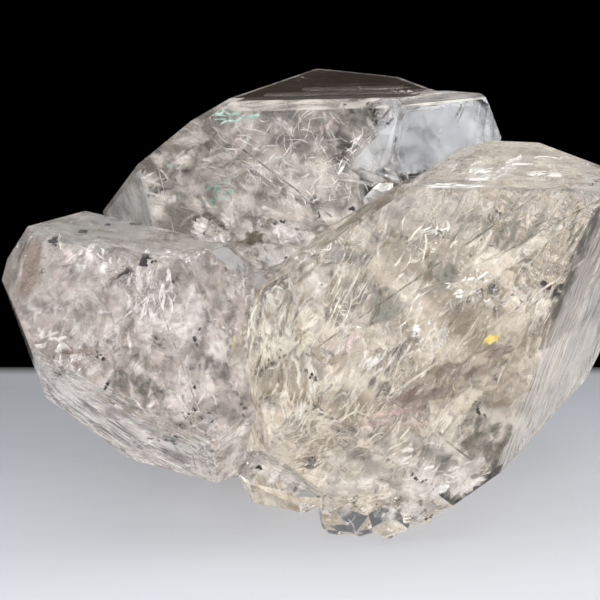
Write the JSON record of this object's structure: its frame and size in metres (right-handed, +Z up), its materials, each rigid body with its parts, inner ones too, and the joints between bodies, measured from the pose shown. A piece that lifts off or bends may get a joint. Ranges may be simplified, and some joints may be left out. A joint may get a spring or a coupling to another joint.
{
  "type": "herkimer diamond cluster",
  "caption": "Cluster of intergrown, doubly terminated clear quartz crystals (Herkimer diamond), about 99 mm across, resting on contact scars.",
  "frame": {"origin": "middle of the underside, on the surface that the cluster rests on", "axes": "+Z up; +X along the cluster's longest extent, from the small left crystal to the large right one; +Y from the front to the back"},
  "size_m": [0.0986, 0.0824, 0.0666],
  "materials": {
    "quartz": "clear, smooth grown faces, veils and carbon flecks inside"
  },
  "bodies": {
    "root": {"crystal_cluster": "quartz"}
  },
  "joints": []
}
